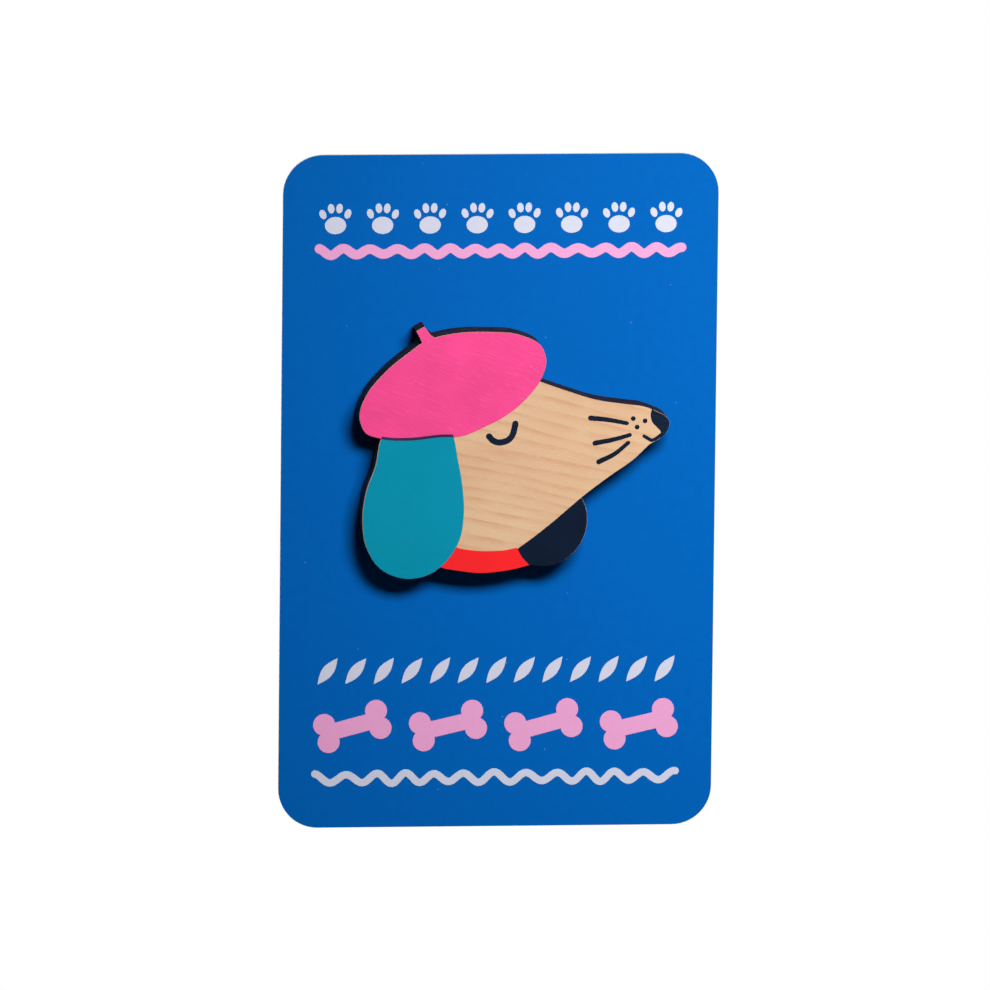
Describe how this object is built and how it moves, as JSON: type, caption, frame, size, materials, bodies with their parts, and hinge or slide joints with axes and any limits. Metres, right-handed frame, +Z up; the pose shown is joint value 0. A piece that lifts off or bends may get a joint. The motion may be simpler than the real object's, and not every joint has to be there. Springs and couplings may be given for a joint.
{
  "type": "pin badge",
  "caption": "Flat shaped wooden pin badge on a rounded backing card, held by two rear posts with sprung butterfly clutches.",
  "frame": {"origin": "midway between the two posts, on the plane where the pads' back faces meet the card or the cloth", "axes": "+Z up, along the long side of the card; +X towards the dog's nose; +Y from the badge through the card to the clutches, so the printed face looks along -Y"},
  "size_m": [0.055, 0.0127, 0.086],
  "materials": {
    "charred_core": "laser-charred fibreboard edge",
    "maple_veneer": "matt bare maple veneer",
    "pink_ink": "satin printed ink",
    "teal_ink": "satin printed ink",
    "navy_ink": "satin printed ink",
    "red_ink": "satin printed ink",
    "glue": "clear epoxy",
    "nickel_plate": "nickel-plated steel",
    "card_stock": "uncoated board",
    "blue_print": "satin offset print",
    "pink_print": "satin offset print",
    "white_print": "satin offset print",
    "clutch_brass": "pressed sheet brass",
    "spring_brass": "hard-rolled spring brass"
  },
  "bodies": {
    "badge": {"core_board": "charred_core", "face_veneer": "maple_veneer", "back_veneer": "maple_veneer", "beret_ink": "pink_ink", "near_ear_ink": "teal_ink", "overprint_ink": "navy_ink", "far_ear_ink": "navy_ink", "collar_ink": "red_ink", "nose_ink": "navy_ink", "eye_ink": "navy_ink", "whisker_ink": "navy_ink", "freckle_ink": "navy_ink", "left_glue": "glue", "right_glue": "glue", "left_pad": "nickel_plate", "right_pad": "nickel_plate", "left_post": "nickel_plate", "right_post": "nickel_plate"},
    "card": {"card_board": "card_stock", "card_print": "blue_print", "top_wave_print": "pink_print", "foot_wave_print": "white_print", "paw_print_row": "white_print", "leaf_print_row": "white_print", "bone_print_row": "pink_print"},
    "left_clutch": {"left_clutch_base": "clutch_brass", "left_clutch_housing": "clutch_brass"},
    "left_inner_wing": {"left_clutch_inner_wing": "spring_brass"},
    "left_outer_wing": {"left_clutch_outer_wing": "spring_brass"},
    "right_clutch": {"right_clutch_base": "clutch_brass", "right_clutch_housing": "clutch_brass"},
    "right_inner_wing": {"right_clutch_inner_wing": "spring_brass"},
    "right_outer_wing": {"right_clutch_outer_wing": "spring_brass"}
  },
  "joints": [
    {"name": "card_slide", "type": "slide", "parent": "badge", "child": "card", "axis": [0, 1, 0], "range_m": [0, 0.012]},
    {"name": "left_clutch_slide", "type": "slide", "parent": "card", "child": "left_clutch", "axis": [0, 1, 0], "range_m": [0, 0.01]},
    {"name": "right_clutch_slide", "type": "slide", "parent": "card", "child": "right_clutch", "axis": [0, 1, 0], "range_m": [0, 0.01]},
    {"name": "left_clutch_squeeze", "type": "hinge", "parent": "left_clutch", "child": "left_inner_wing", "pos_m": [-0.0077, 0.00285, 0], "axis": [0, 0, 1], "range_deg": [0, 12], "stiffness_Nm_per_rad": 0.01},
    {"name": "left_outer_squeeze", "type": "hinge", "parent": "left_clutch", "child": "left_outer_wing", "pos_m": [-0.0113, 0.00285, 0], "axis": [0, 0, -1], "range_deg": [0, 12], "stiffness_Nm_per_rad": 0.01},
    {"name": "right_clutch_squeeze", "type": "hinge", "parent": "right_clutch", "child": "right_inner_wing", "pos_m": [0.0077, 0.00285, 0], "axis": [0, 0, -1], "range_deg": [0, 12], "stiffness_Nm_per_rad": 0.01},
    {"name": "right_outer_squeeze", "type": "hinge", "parent": "right_clutch", "child": "right_outer_wing", "pos_m": [0.0113, 0.00285, 0], "axis": [0, 0, 1], "range_deg": [0, 12], "stiffness_Nm_per_rad": 0.01}
  ],
  "couplings": [
    {"joint": "left_outer_squeeze", "follows": "left_clutch_squeeze", "ratio": 1},
    {"joint": "right_outer_squeeze", "follows": "right_clutch_squeeze", "ratio": 1}
  ]
}
